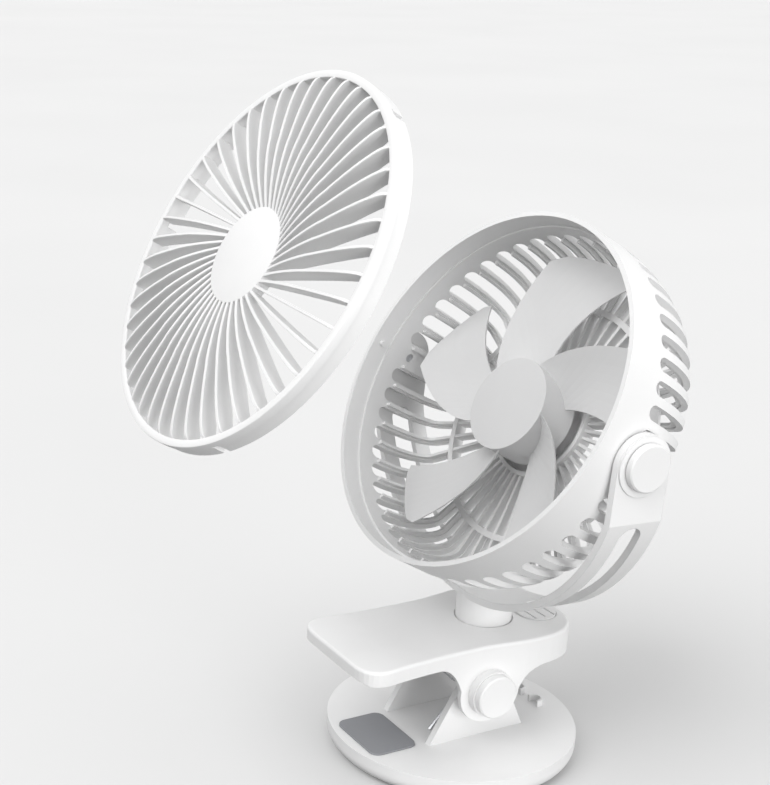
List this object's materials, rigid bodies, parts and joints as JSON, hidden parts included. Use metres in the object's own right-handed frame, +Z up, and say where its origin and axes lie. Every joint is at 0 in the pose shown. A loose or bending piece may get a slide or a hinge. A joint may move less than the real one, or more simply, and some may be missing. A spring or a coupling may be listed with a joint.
{
  "type": "clip fan",
  "caption": "White clip fan with a slotted round head, curved-blade impeller, swirl-rib grille lifted off, slotted yoke, and a spring clip whose lower jaw is a round stand.",
  "frame": {"origin": "centre of the upper jaw's flat gripping face", "axes": "+X towards the jaw tip and the side the fan blows to, +Y to the fan's left, +Z up, away from the gripped edge"},
  "size_m": [0.2202, 0.1704, 0.2911],
  "materials": {
    "shell": "fine satin moulded plastic, white",
    "inner_plastic": "matt moulded plastic, slightly greyer white",
    "steel": "plated steel",
    "bronze": "sintered bronze",
    "board": "solder-masked circuit board",
    "switch_plastic": "black switch body",
    "cell_foil": "foil pouch",
    "pad_rubber": "soft matt rubber, light grey"
  },
  "bodies": {
    "base": {"base_top_shell": "shell", "base_bottom_shell": "shell", "shell_screws": "steel", "circuit_board": "board", "tact_switch": "switch_plastic", "usb_socket": "steel", "battery_cell": "cell_foil", "upper_jaw_pad": "pad_rubber", "hinge_pin": "steel", "hinge_cap_left": "shell", "hinge_cap_right": "shell", "torsion_spring": "steel"},
    "button": {"power_button": "shell"},
    "stand": {"stand_disc": "shell", "stand_cover": "shell", "cover_screws": "steel", "lower_jaw_pad": "pad_rubber", "foot_pad": "pad_rubber"},
    "yoke": {"yoke": "shell", "swivel_washer": "steel", "swivel_screw": "steel", "pivot_washers": "steel"},
    "head": {"head_housing": "shell", "motor_can": "steel", "motor_end_cap": "inner_plastic", "motor_bushes": "bronze", "pivot_cap_left": "shell", "pivot_cap_right": "shell", "pivot_screws": "steel"},
    "rotor": {"impeller": "inner_plastic", "motor_shaft": "steel", "motor_armature": "steel"},
    "grille": {"front_grille": "shell"}
  },
  "joints": [
    {"name": "clip_hinge", "type": "hinge", "parent": "base", "child": "stand", "pos_m": [-0.0406, 0, -0.0138], "axis": [0, -1, 0], "range_deg": [-14, 37], "stiffness_Nm_per_rad": 0.6, "deforming": ["torsion_spring"]},
    {"name": "yoke_swivel", "type": "hinge", "parent": "base", "child": "yoke", "pos_m": [-0.0547, 0, 0.0074], "axis": [0, 0, 1], "range_deg": [-180, 180]},
    {"name": "head_tilt", "type": "hinge", "parent": "yoke", "child": "head", "pos_m": [-0.06, 0, 0.1024], "axis": [0, -1, 0], "range_deg": [-60, 59]},
    {"name": "fan_spin", "type": "hinge", "parent": "head", "child": "rotor", "pos_m": [-0.06, 0, 0.1024], "axis": [0.8616, 0, 0.5075], "continuous": true},
    {"name": "grille_lift", "type": "slide", "parent": "head", "child": "grille", "axis": [0.8616, 0, 0.5075], "range_m": [-0.124, 0]},
    {"name": "power_press", "type": "slide", "parent": "base", "child": "button", "axis": [0, 0, -1], "range_m": [0, 0.0008], "stiffness_N_per_m": 1500}
  ]
}
